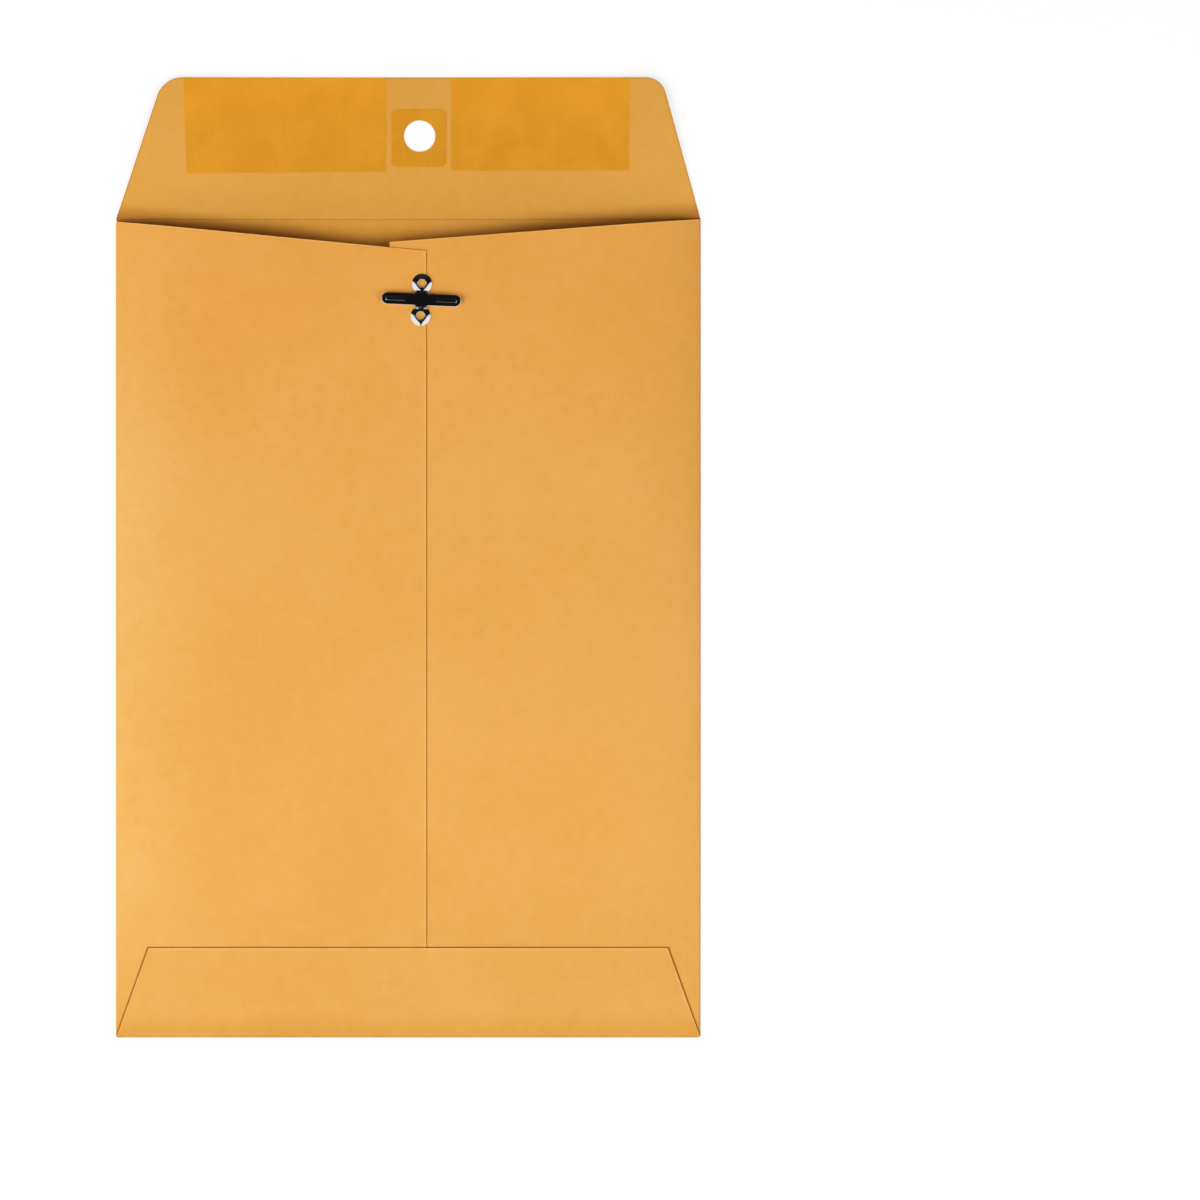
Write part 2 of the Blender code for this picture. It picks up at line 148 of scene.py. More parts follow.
# Where the domes, neck and beads of the stamped clasp lie
CREST_RADIUS = 1.6 * MM
DOME_POWER = 1.3
NECK_HALF = 2.0 * MM
NECK_CLEAR = math.radians(32)
NECK_END = math.radians(40)
NECK_FLARE = math.radians(50)
RISER_TOP = 2.3 * MM
RISER_FOOT = 2.55 * MM
BEAD_HALF = 0.7 * MM
BEAD_TOP = 0.45 * BEAD_HALF
BEAD_FOOT = 1.05 * BEAD_HALF
BEAD_RISE = 0.12 * MM
BEAD_START = 3.2 * MM
BEAD_END = 11.7 * MM
BEAD_FADE = 2.2 * MM
BEAD_TIP = 0.5 * MM
EDGE_ROLL = 0.18 * MM
EDGE_DROP = 0.08 * MM
BEND_END = 2.6 * MM
ROOT_FILLET = 0.3 * MM
PETALS = 6
PETAL_REACH = 0.3 * MM
PETAL_SHIFT = 0.9
PETAL_CURL = 0.3
SLUG_DEPTH = 0.1 * MM
SLUG_CROWN = 0.06 * MM
BASE_WELD = 0.004 * MM
PRONG_WELD = 0.002 * MM
NEVER_ZERO = 0.01

# Profile of an eyelet, as radius and height: from the clinch up the bore, and over the torn lip
BARREL = [
    (CLINCH_RADIUS, CLINCH_BOTTOM), (1.9 * MM, CLINCH_BOTTOM), (1.62 * MM, CLINCH_BOTTOM + 0.03 * MM),
    (1.44 * MM, CLINCH_BOTTOM + 0.11 * MM), (EYELET_BORE, CLINCH_BOTTOM + 0.27 * MM),
    (EYELET_BORE, -0.2 * MM), (EYELET_BORE, 0.1 * MM),
]
LIP = [
    (1.36 * MM, 0.28 * MM), (1.38 * MM, 0.42 * MM), (1.42 * MM, 0.53 * MM), (1.47 * MM, 0.6 * MM),
    (1.53 * MM, 0.64 * MM), (CREST_RADIUS, EYELET_HEIGHT),
]

# Steps from a prong's middle line over its bead to the band where its edge rolls, in millimetres
BEAD_STEPS = [0.0, 0.15, 0.3, 0.38, 0.46, 0.54, 0.62, 0.7, 0.78, 0.95, 1.15, 1.35, 1.45]
EDGE_BAND = 0.45

# Cells of the sheets and steps round their curves
FRONT_CELLS = 60
FLAP_BEND_ROWS = 32
FLAP_ROWS = 26
FLAP_TIP_ROWS = 18
FLAP_COLUMNS = 110
CORNER_STEPS = 6
CLASP_HOLE_STEPS = 96
EYELET_HOLE_STEPS = 64
SLUG_STEPS = 48
NECK_STEPS = 8
FLARE_STEPS = 16
ROUND_STEPS = 34
DOME_STEPS = 10
RISER_STEPS = 10
BAR_STEPS = 8
BEND_STEPS = 12
SHANK_STEPS = 40
TIP_STEPS = 28
EDGE_STEPS = 8

# How far the marks on the paper reach from an edge, a crease, a cover or the bottom: edge wear with a
# painted highlight, painted sheen, painted shade and tints
RIM_REACH = 0.6 * MM
# Reach of the painted sheen from the left side crease, and the heights where it shows
LEFT_SHEEN_REACH = 34.0 * MM
SHEEN_FOOT = 60.0 * MM
SHEEN_FULL = 200.0 * MM
SHEEN_END = 285.0 * MM
# Heights where the upper body turns a deeper orange
UPPER_TINT_LOW = 165.0 * MM
UPPER_TINT_HIGH = 240.0 * MM
# Widths of the painted shade lines: in the flap's score, beyond covering edges, and beside the seam
SCORE_HALF = 0.3 * MM
COVER_LINE = 0.72 * MM
LAP_LINE = 0.5 * MM
# Reach of the painted shade at the bottom fold, and where the slight darkening above it starts
BOTTOM_SHADE_REACH = 10.0 * MM
LOWER_TINT_START = 70.0 * MM
# Reach of the painted shadow beyond the mouths, and how it grows toward the sides
MOUTH_SHADE_REACH = 7.0 * MM
MOUTH_SHADE_START = 15.0 * MM
MOUTH_SHADE_FULL = 50.0 * MM
GUM_SPREAD = 26.0 * MM
FAR = 1.0

# Strength of each mark on the paper and its factors on the colour below it: edge wear with a painted
# highlight, painted sheen, painted shade, and plain tints
RIM_SHARE = 0.95
LEFT_SHEEN_SHARE = 0.8
UPPER_TINT_SHARE = 0.8
MOUTH_SHADE_SHARE = 0.8
FOLD_SHARE = 0.33
OUTLINE_SHARE = 0.4
SPECK_SHARE = 0.2
# Factors, in order: edge wear with a painted highlight, painted shade lines, painted seam shade, painted
# mouth shadow, painted bottom-fold shade, slight darkening toward the bottom, painted sheen, thicker gum,
# upper orange tint, specks
RIM_WEAR_AND_HIGHLIGHT = (1.09, 1.16, 1.5)
LINE_SHADE_AND_SCORE_MARK = (0.49, 0.25, 0.01)
SEAM_SHADE = (0.82, 0.5, 0.04)
MOUTH_SHADE = (0.5, 0.33, 0.12)
BOTTOM_FOLD_SHADE = (0.92, 0.87, 0.7)
LOWER_TINT = (0.955, 0.97, 0.985)
PAINTED_SHEEN = (1.03, 1.16, 1.55)
THICK_GUM = (0.91, 0.915, 0.95)
UPPER_TINT = (1.03, 0.955, 0.86)
SPECKED = (0.45, 0.36, 0.3)

# Colours
KRAFT_OUTSIDE = (0.865, 0.422, 0.083)
KRAFT_INSIDE = (0.83, 0.396, 0.062)
KRAFT_CUT = (0.90, 0.56, 0.22)
DRY_GUM = (0.895, 0.373, 0.0225)
PATCH_PAPER = (0.85, 0.353, 0.018)
GLUE = (0.55, 0.42, 0.22)
TIN = (0.80, 0.80, 0.81)

# Surface patterns: cells to a metre, and the factors on the colour at their two ends
PAPER_BROAD = 16.0
PAPER_CLOUD = 240.0
PAPER_GRAIN = (1300, 95, 1300)
PAPER_FIBRE = (5200, 900, 5200)
FIBRE_TURN = 0.5
PAPER_SPECKS = 170.0
SPECKED_CELLS = 0.07
PAPER_DEEP = (0.964, 0.93, 0.76)
PAPER_PALE = (1.036, 1.07, 1.24)
GUM_POOL = 85.0
GUM_STREAK = (520, 45, 520)
GUM_GRIT = 900.0
GUM_DEEP = (0.96, 0.945, 0.85)
GUM_PALE = (1.045, 1.06, 1.18)
TIN_WAVE = 420.0
TIN_ROLLED = (900, 26000, 9000)
TIN_SMEAR = 1500.0
TIN_DULL = (0.93, 0.93, 0.94)
TIN_BRIGHT = (1.06, 1.06, 1.05)
GLUE_POOL = 300.0
GLUE_DEEP = (0.8, 0.8, 0.8)
GLUE_PALE = (1.15, 1.15, 1.15)

# Table and room
TABLE_RADIUS = 9.0
TABLE_GAP = 0.25 * MM
TABLE_GREY = (0.34, 0.34, 0.34, 1.0)
TABLE_GLOW = 0.72
WHITE = (1.0, 1.0, 1.0, 1.0)
EVEN_LIGHT = 0.14
CEILING = 0.008
NORTH_CEILING = 0.015
NORTH_START = 0.4
NORTH_END = 0.7
HORIZON_TOP = 0.16
HORIZON_LOW = 0.05
WINDOW_EAST = 0.8
WINDOW_SOUTH = 0.62
WINDOW_START = 0.42
WINDOW_END = 0.5
BRIGHT = 0.98

# Camera: the width of what it sees at the table, and the middle of that
LENS = 200.0
SENSOR = 36.0
VIEW_WIDTH = 391.2 * MM
VIEW_MIDDLE = (62.5 * MM, 9.23 * MM)


class Field:
    """A number inside a node tree, so that a rule can be written as plain arithmetic."""

    def __init__(self, tree, socket):
        self.tree = tree
        self.socket = socket

    def math(self, operation, *values, clamp=False):
        node = self.tree.nodes.new("ShaderNodeMath")
        node.operation = operation
        node.use_clamp = clamp
        for entry, value in zip(node.inputs, values):
            if isinstance(value, Field):
                self.tree.links.new(value.socket, entry)
            else:
                entry.default_value = value
        return Field(self.tree, node.outputs[0])

    def __add__(self, other):
        return self.math("ADD", self, other)

    def __radd__(self, other):
        return self.math("ADD", other, self)

    def __sub__(self, other):
        return self.math("SUBTRACT", self, other)

    def __rsub__(self, other):
        return self.math("SUBTRACT", other, self)

    def __mul__(self, other):
        return self.math("MULTIPLY", self, other)

    def __rmul__(self, other):
        return self.math("MULTIPLY", other, self)

    def __truediv__(self, other):
        return self.math("DIVIDE", self, other)

    def power(self, exponent):
        return self.math("POWER", self, exponent)

    def size(self):
        return self.math("ABSOLUTE", self)

    def smaller(self, other):
        return self.math("MINIMUM", self, other)

    def larger(self, other):
        return self.math("MAXIMUM", self, other)

    def sine(self):
        return self.math("SINE", self)

    def cosine(self):
        return self.math("COSINE", self)

    def clamped(self):
        return self.math("ADD", self, 0.0, clamp=True)

    def ramp(self, start, end):
        """Smooth step from 0 where the number is start to 1 where it is end."""
        share = ((self - start) / (end - start)).clamped()
        return share * share * (3.0 - 2.0 * share)

    def crowded(self):
        """A share from 0 to 1 with finer steps at both ends, for sheets that lift along their edges."""
        return 0.2 * self + 0.8 * self.ramp(0.0, 1.0)


def add_node(tree, kind, settings=None, **entries):
    """Add a node, set its settings, and set or link its inputs by name."""
    node = tree.nodes.new(kind)
    for name, value in (settings or {}).items():
        setattr(node, name, value)
    for name, value in entries.items():
        entry = node.inputs[name.replace("_", " ")]
        if isinstance(value, Field):
            tree.links.new(value.socket, entry)
        elif isinstance(value, bpy.types.NodeSocket):
            tree.links.new(value, entry)
        else:
            entry.default_value = value
    return node


def ramp(start, end, value):
    """Smooth step from 0 where the value is start to 1 where it is end."""
    share = min(max((value - start) / (end - start), 0.0), 1.0)
    return share * share * (3 - 2 * share)


# Materials


def new_material(name):
    material = bpy.data.materials.new(name)
    material.use_nodes = True
    tree = material.node_tree
    shader = tree.nodes["Principled BSDF"]
    return material, tree, shader


def paint(tree, shader, colour, shine):
    """Give a shader its colour and its roughness."""
    tree.links.new(colour, shader.inputs["Base Color"])
    tree.links.new(shine.socket, shader.inputs["Roughness"])


def emboss(tree, shader, relief, strength, depth):
    """Give a shader a fine relief."""
    bump = add_node(tree, "ShaderNodeBump", Strength=strength, Distance=depth, Height=relief)
    tree.links.new(bump.outputs[0], shader.inputs["Normal"])


def noise_field(tree, place, scale, detail=2.0, roughness=0.5, distortion=0.0):
    node = add_node(
        tree, "ShaderNodeTexNoise", Vector=place, Scale=scale, Detail=detail,
        Roughness=roughness, Distortion=distortion,
    )
    return Field(tree, node.outputs[0])


def stretched(tree, place, scale, turn=0.0):
    node = add_node(tree, "ShaderNodeMapping", Vector=place, Scale=scale, Rotation=(0, 0, turn))
    return node.outputs[0]


def mixed(tree, share, low, high, blend="MIX"):
    """A colour between two, each a colour or a socket."""
    node = add_node(tree, "ShaderNodeMix", {"data_type": "RGBA", "blend_type": blend})
    tree.links.new(share.socket, node.inputs[0])
    for entry, value in ((node.inputs[6], low), (node.inputs[7], high)):
        if isinstance(value, bpy.types.NodeSocket):
            tree.links.new(value, entry)
        else:
            entry.default_value = (*value, 1.0)
    return node.outputs[2]


def shifted(colour, factors):
    return tuple(channel * factor for channel, factor in zip(colour, factors))


def tinted(tree, share, colour, factors):
    """A colour multiplied by a factor for each channel, where the share is 1."""
    return mixed(tree, share, colour, factors, "MULTIPLY")


def stored_distances(tree, attribute):
    """Three distances that are stored on a sheet, as fields."""
    gaps = add_node(tree, "ShaderNodeAttribute", {"attribute_name": attribute})
    parts = add_node(tree, "ShaderNodeSeparateXYZ", Vector=gaps.outputs["Vector"])
    return [Field(tree, part) for part in parts.outputs]


def kraft(name, colour, roughness):
    """Machine-made kraft: cloudy formation, grain along Y, fibres, specks, lighter edges (wear with a
    painted highlight), a painted sheen along the left side, painted shade lines at covering edges, the score
    and the bottom fold, painted shadow inside the mouth, and tints toward the top and the bottom.
    """
    material, tree, shader = new_material(name)
    place = add_node(tree, "ShaderNodeAttribute", {"attribute_name": "paper_place"}).outputs["Vector"]
    broad = noise_field(tree, place, PAPER_BROAD, 2.0)
    cloud = noise_field(tree, place, PAPER_CLOUD, 4.0, 0.55)
    grain = noise_field(tree, stretched(tree, place, PAPER_GRAIN), 1.0, 3.0, 0.6)
    fibre = noise_field(tree, stretched(tree, place, PAPER_FIBRE, FIBRE_TURN), 1.0, 2.0, 0.6, 1.2)
    tone = (0.42 * broad + 0.33 * cloud + 0.1 * grain + 0.15 * fibre).ramp(0.3, 0.7)
    paper = mixed(tree, tone, shifted(colour, PAPER_DEEP), shifted(colour, PAPER_PALE))

    cells = add_node(tree, "ShaderNodeTexVoronoi", Vector=place, Scale=PAPER_SPECKS)
    chosen = add_node(tree, "ShaderNodeSeparateColor", Color=cells.outputs["Color"])
    rare = Field(tree, chosen.outputs[0]).ramp(SPECKED_CELLS, SPECKED_CELLS * 0.9)
    dot = Field(tree, cells.outputs["Distance"]).ramp(0.075, 0.03)
    paper = tinted(tree, rare * dot * SPECK_SHARE, paper, SPECKED)

    edges = stored_distances(tree, "free_edges")
    side_crease, score, height = stored_distances(tree, "creases")
    # Lighter cut edges: partly edge wear, partly a painted highlight where the edge catches the light
    rim = edges[0].smaller(edges[1]).smaller(edges[2]).ramp(RIM_REACH, RIM_REACH * 0.3)
    # Painted sheen: paper made paler and whiter along the left side crease at mid heights, as the left lamp
    # would light it; tinted after the rim
    sheen_heights = height.ramp(0.0, SHEEN_FOOT) * height.ramp(SHEEN_END, SHEEN_FULL)
    left_sheen = side_crease.ramp(LEFT_SHEEN_REACH, 0.0) * sheen_heights
    paper = tinted(tree, RIM_SHARE * rim * cloud.ramp(0.1, 0.5), paper, RIM_WEAR_AND_HIGHLIGHT)
    paper = tinted(tree, LEFT_SHEEN_SHARE * left_sheen * cloud.ramp(0.0, 0.5), paper, PAINTED_SHEEN)
    # A deeper orange tint on the upper part of the body, toward the mouth
    upper_band = height.ramp(UPPER_TINT_LOW, UPPER_TINT_HIGH) * height.ramp(2 * BODY_HEIGHT, BODY_HEIGHT)
    paper = tinted(tree, UPPER_TINT_SHARE * upper_band, paper, UPPER_TINT)

    flap_over = stored_distances(tree, "flap_over")
    lap_over = stored_distances(tree, "lap_over")
    flap_line = flap_over[0].larger(flap_over[1]).size().ramp(COVER_LINE, 0.0)
    seam_shade_line = lap_over[0].larger(lap_over[1]).size().ramp(LAP_LINE, 0.0)
    fold_line = score.size().ramp(SCORE_HALF, SCORE_HALF * 0.3)
    outline = lap_over[2].ramp(COVER_LINE, 0.0)
    # Painted shade: a dark line on the right panel just beyond the left panel's lapped edge, as a contact
    # shadow
    paper = tinted(tree, seam_shade_line, paper, SEAM_SHADE)
    # Painted shade: dark lines beyond the bottom flap's top and slanted edges, along the bottom fold and in
    # the flap's score, where the pressed fibres also darken a little; the same darker line runs along the
    # closure flap's outer edge
    line_shade_and_score_mark = flap_line.larger(FOLD_SHARE * fold_line).larger(OUTLINE_SHARE * outline)
    paper = tinted(tree, line_shade_and_score_mark, paper, LINE_SHADE_AND_SCORE_MARK)
    # Painted shadow: reddish-brown shade on the inside paper just beyond the back panels' mouths, stronger
    # toward the sides, where the raised panel edges shade the throat
    mouth, from_middle, _ = stored_distances(tree, "mouth_over")
    mouth_shade = mouth.ramp(MOUTH_SHADE_REACH, 0.0) * from_middle.ramp(MOUTH_SHADE_START, MOUTH_SHADE_FULL)
    paper = tinted(tree, MOUTH_SHADE_SHARE * mouth_shade, paper, MOUTH_SHADE)
    # Slightly darker, mostly in red, toward the bottom
    paper = tinted(tree, height.ramp(LOWER_TINT_START, BOTTOM_SHADE_REACH), paper, LOWER_TINT)
    # Painted shade: deeper, redder paper close to the bottom fold, which curves away from the lamps
    paper = tinted(tree, height.ramp(BOTTOM_SHADE_REACH, 0.0), paper, BOTTOM_FOLD_SHADE)
    paint(tree, shader, paper, roughness + 0.16 * (cloud - 0.5))
    shader.inputs["Specular IOR Level"].default_value = 0.3
    relief = 0.5 * cloud + 0.2 * grain + 0.3 * fibre
    emboss(tree, shader, relief, strength=0.22, depth=0.06 * MM)
    return material


def gum(name, colour, roughness):
    """Dry remoistening gum: blotchy where it pooled, streaked, and thicker away from the free edge."""
    material, tree, shader = new_material(name)
    place = add_node(tree, "ShaderNodeTexCoord").outputs["Object"]
    pool = noise_field(tree, place, GUM_POOL, 3.0, 0.55, 0.4)
    streak = noise_field(tree, stretched(tree, place, GUM_STREAK), 1.0, 3.0, 0.6)
    grit = noise_field(tree, place, GUM_GRIT, 3.0, 0.6)
    tone = (0.65 * pool + 0.2 * streak + 0.15 * grit).ramp(0.32, 0.68)
    dried = mixed(tree, tone, shifted(colour, GUM_DEEP), shifted(colour, GUM_PALE))
    parts = add_node(tree, "ShaderNodeSeparateXYZ", Vector=place)
    thick = Field(tree, parts.outputs[1]).ramp(FLAP_TOP, FLAP_TOP - GUM_SPREAD)
    dried = tinted(tree, thick, dried, THICK_GUM)
    paint(tree, shader, dried, roughness + 0.25 * (grit - 0.5))
    shader.inputs["Specular IOR Level"].default_value = 0.2
    emboss(tree, shader, 0.6 * pool + 0.4 * grit, strength=0.15, depth=0.05 * MM)
    return material


def tin_plate(name):
    """Bright tin plate: fine rolling lines, smears and a slightly wavy surface."""
    material, tree, shader = new_material(name)
    place = add_node(tree, "ShaderNodeTexCoord").outputs["Object"]
    wave = noise_field(tree, place, TIN_WAVE, 2.0)
    rolled = noise_field(tree, stretched(tree, place, TIN_ROLLED, CLASP_TURN), 1.0, 2.0)
    smear = noise_field(tree, place, TIN_SMEAR, 3.0, 0.6)
    tone = (0.6 * smear + 0.4 * rolled).ramp(0.3, 0.7)
    metal = mixed(tree, tone, shifted(TIN, TIN_DULL), shifted(TIN, TIN_BRIGHT))
    paint(tree, shader, metal, 0.045 + 0.07 * smear.ramp(0.35, 0.75) + 0.02 * rolled)
    shader.inputs["Metallic"].default_value = 1.0
    emboss(tree, shader, 0.7 * wave + 0.04 * rolled, strength=0.2, depth=0.05 * MM)
    return material


def glue_line(name):
    """Dried glue between the plies, pooled here and there."""
    material, tree, shader = new_material(name)
    place = add_node(tree, "ShaderNodeTexCoord").outputs["Object"]
    pool = noise_field(tree, place, GLUE_POOL, 3.0)
    colour = mixed(tree, pool.ramp(0.3, 0.7), shifted(GLUE, GLUE_DEEP), shifted(GLUE, GLUE_PALE))
    paint(tree, shader, colour, 0.35 + 0.2 * pool)
    return material


kraft_outside = kraft("kraft_outside", KRAFT_OUTSIDE, roughness=0.62)
kraft_inside = kraft("kraft_inside", KRAFT_INSIDE, roughness=0.7)
kraft_cut = kraft("kraft_cut_edge", KRAFT_CUT, roughness=0.85)
dry_gum = gum("dry_gum", DRY_GUM, roughness=0.36)
patch_paper = gum("patch_paper", PATCH_PAPER, roughness=0.5)
tin = tin_plate("tin_plate")
glue = glue_line("glue_line")

# Finishes of a sheet's upper side, underside and cut edges
OUTSIDE_UP = (kraft_outside, kraft_inside, kraft_cut)
INSIDE_UP = (kraft_inside, kraft_outside, kraft_cut)


# Meshes


def new_piece(name, mesh):
    piece = bpy.data.objects.new(name, mesh)
    bpy.context.scene.collection.objects.link(piece)
    return piece


def mesh_from(name, shape):
    """Turn a modelled shape into a mesh."""
    mesh = bpy.data.meshes.new(name)
    shape.to_mesh(mesh)
    shape.free()
    return mesh


def bake(piece):
    """Turn a piece and its modifiers into one plain mesh."""
    depsgraph = bpy.context.evaluated_depsgraph_get()
    mesh = bpy.data.meshes.new_from_object(
        piece.evaluated_get(depsgraph), preserve_all_data_layers=True, depsgraph=depsgraph,
    )
    before = piece.data
    piece.modifiers.clear()
    piece.data = mesh
    bpy.data.meshes.remove(before)
    mesh.name = piece.name
    return piece


def face_up(piece):
    """Make sure that the upper side of an open sheet is its outer side."""
    mesh = piece.data
    if sum(face.normal.z * face.area for face in mesh.polygons) < 0:
        mesh.flip_normals()
    return piece


def thicken(piece, thickness, materials):
    """Give a sheet its thickness below its upper face: materials for the top, the underside and the rim."""
    piece.data.materials.clear()
    for material in materials:
        piece.data.materials.append(material)
    solidify = piece.modifiers.new("thickness", "SOLIDIFY")
    solidify.thickness = thickness
    solidify.offset = -1.0
    solidify.use_even_offset = True
    if len(materials) > 1:
        solidify.material_offset = 1
        solidify.material_offset_rim = 2
    return piece


def smooth(piece, angle=35):
    piece.data.shade_smooth()
    piece.data.set_sharp_from_angle(angle=math.radians(angle))
    return piece


def store(piece, attribute, rule):
    """Store a vector on each point of a sheet, by a rule for its place."""
    layers = piece.data.attributes
    layer = layers.get(attribute) or layers.new(attribute, "FLOAT_VECTOR", "POINT")
    for index, vertex in enumerate(piece.data.vertices):
        layer.data[index].vector = rule(vertex.co)


def nothing_near(place):
    """For a place that no edge, crease or cover is near."""
    return (FAR, FAR, FAR)


def keep_place(piece, free_edges=nothing_near, creases=nothing_near):
    """Store where the paper lies at rest, so that its grain bends with it, and how far its edges are."""
    store(piece, "paper_place", lambda place: place)
    store(piece, "free_edges", free_edges)
    store(piece, "creases", creases)
    for cover in ("flap_over", "lap_over", "mouth_over"):
        store(piece, cover, nothing_near)
    return piece


def drum(name, centre, radius, steps):
    """A round cutter that stands along Z."""
    solid = bmesh.new()
    bmesh.ops.create_cone(
        solid, cap_ends=True, segments=steps, radius1=radius, radius2=radius, depth=2 * CUT_DEPTH,
    )
    bmesh.ops.translate(solid, verts=solid.verts, vec=centre)
    return new_piece(name, mesh_from(name, solid))


def cut(piece, cutters):
    for cutter in cutters:
        boolean = piece.modifiers.new(cutter.name, "BOOLEAN")
        boolean.operation = "DIFFERENCE"
        boolean.solver = "EXACT"
        boolean.object = cutter
    return piece


def remove(pieces):
    for piece in pieces:
        mesh = piece.data
        bpy.data.objects.remove(piece)
        bpy.data.meshes.remove(mesh)


# Node trees for the sheets whose shape follows a rule


def new_tree(name, sizes):
    """A geometry tree with named inputs, and a field for each of them."""
    tree = bpy.data.node_groups.new(name, "GeometryNodeTree")
    tree.interface.new_socket("Geometry", in_out="OUTPUT", socket_type="NodeSocketGeometry")
    for label, value in sizes.items():
        kind = "NodeSocketInt" if isinstance(value, int) else "NodeSocketFloat"
        tree.interface.new_socket(label, in_out="INPUT", socket_type=kind).default_value = value
    entry = tree.nodes.new("NodeGroupInput")
    fields = {label: Field(tree, entry.outputs[label]) for label in sizes}
    return tree, fields


def end_tree(tree, geometry, material):
    """Make the geometry real, give it its material and end the tree."""
    realised = add_node(tree, "GeometryNodeRealizeInstances", Geometry=geometry)
    painted = add_node(
        tree, "GeometryNodeSetMaterial", Geometry=realised.outputs[0], Material=material,
    )
    last = tree.nodes.new("NodeGroupOutput")
    tree.links.new(painted.outputs[0], last.inputs[0])


def piece_from_tree(name, tree, sizes, mesh=None):
    """Run a geometry tree with these sizes, and keep the result as a plain mesh."""
    piece = new_piece(name, mesh or bpy.data.meshes.new(name))
    modifier = piece.modifiers.new(tree.name, "NODES")
    modifier.node_group = tree
    for item in tree.interface.items_tree:
        if item.in_out == "INPUT" and item.name in sizes:
            modifier[item.identifier] = sizes[item.name]
    return bake(piece)


def unit_grid(tree, columns, rows):
    """A grid of that many cells, with its shares across and up as fields."""
    grid = add_node(
        tree, "GeometryNodeMeshGrid", Size_X=1.0, Size_Y=1.0,
        Vertices_X=columns + 1.0, Vertices_Y=rows + 1.0,
    )
    place = tree.nodes.new("GeometryNodeInputPosition")
    parts = add_node(tree, "ShaderNodeSeparateXYZ", Vector=place.outputs[0])
    return grid.outputs[0], Field(tree, parts.outputs[0]) + 0.5, Field(tree, parts.outputs[1]) + 0.5


def placed(tree, geometry, x, y, z):
    spot = add_node(tree, "ShaderNodeCombineXYZ", X=x, Y=y, Z=z)
    moved = add_node(tree, "GeometryNodeSetPosition", Geometry=geometry, Position=spot.outputs[0])
    return moved.outputs[0]


def gape_field(size, x, y):
    """Height of the open pocket: nothing at the side and bottom creases, most at the mouth."""
    across = (x.size() / size["Half Width"]).clamped()
    from_mouth = ((size["Body Height"] * 0.5 - y) / size["Body Height"]).clamped()
    level = 1.0 - across.power(size["Side Power"])
    return size["Gape"] * level * (1.0 - from_mouth.power(size["Depth Power"]))


POCKET = {
    "Half Width": HALF_WIDTH, "Body Height": BODY_HEIGHT, "Gape": GAPE, "Side Power": SIDE_POWER,
    "Depth Power": DEPTH_POWER, "Paper": PAPER, "Ply": PLY, "Lap": LAP,
    "Flap Height": BOTTOM_FLAP_HEIGHT, "Edge Lift": EDGE_LIFT, "Lift Reach": LIFT_REACH,
}


def lift_field(size, from_edge):
    """How far a free edge of the paper curls up from what it lies on."""
    share = ((size["Lift Reach"] - from_edge) / size["Lift Reach"]).clamped()
    return size["Edge Lift"] * share * share


def side_panel_tree():
    """Upper face of a back panel, from under its side crease to its free edge."""
    sizes = {
        **POCKET, "Side": 1.0, "Corner Drop": 0.0, "Mouth Drop": RIGHT_PANEL_DROP, "Plies Climbed": 0.0,
        "Fold Radius": SIDE_FOLD_RADIUS, "Bottom Inset": PANEL_END_GAP, "Clasp Height": CLASP_PLACE[1],
        "Columns": 64, "Fold Columns": 10, "Rows": 90,
    }
    tree, size = new_tree("back_panel", sizes)
    columns = size["Columns"] + size["Fold Columns"]
    grid, across, up = unit_grid(tree, columns, size["Rows"])
    fold_share = size["Fold Columns"] / columns
    turn = math.pi * (1.0 - across / fold_share).clamped()
    reach = ((across - fold_share) / (1.0 - fold_share)).clamped().crowded()
    crease = size["Half Width"] - size["Fold Radius"]
    x = crease - reach * (crease + size["Lap"])
    share = (size["Half Width"] - x) / (size["Half Width"] + size["Lap"])
    slant = (size["Mouth Drop"] - size["Corner Drop"]) * share
    mouth = size["Body Height"] * 0.5 - size["Corner Drop"] - slant
    bottom = size["Bottom Inset"] - size["Body Height"] * 0.5
    y = bottom + (mouth - bottom) * up
    climb = size["Plies Climbed"] * x.ramp(size["Half Width"], size["Lap"])
    held = size["Flap Height"] - size["Body Height"] * 0.5
    from_clasp = (y - size["Clasp Height"]).size()
    loose = y.ramp(held, held + LIFT_FADE) * from_clasp.ramp(CLASP_HELD, CLASP_FREE)
    lift = size["Plies Climbed"] * loose * lift_field(size, x + size["Lap"])
    level = size["Paper"] + size["Ply"] * (1.0 + climb) + gape_field(size, x, y) + lift
    radius = level * 0.5
    edge = size["Side"] * (x + radius * turn.sine())
    height = level - radius * (1.0 - turn.cosine())
    end_tree(tree, placed(tree, grid, edge, y, height), kraft_outside)
    return tree


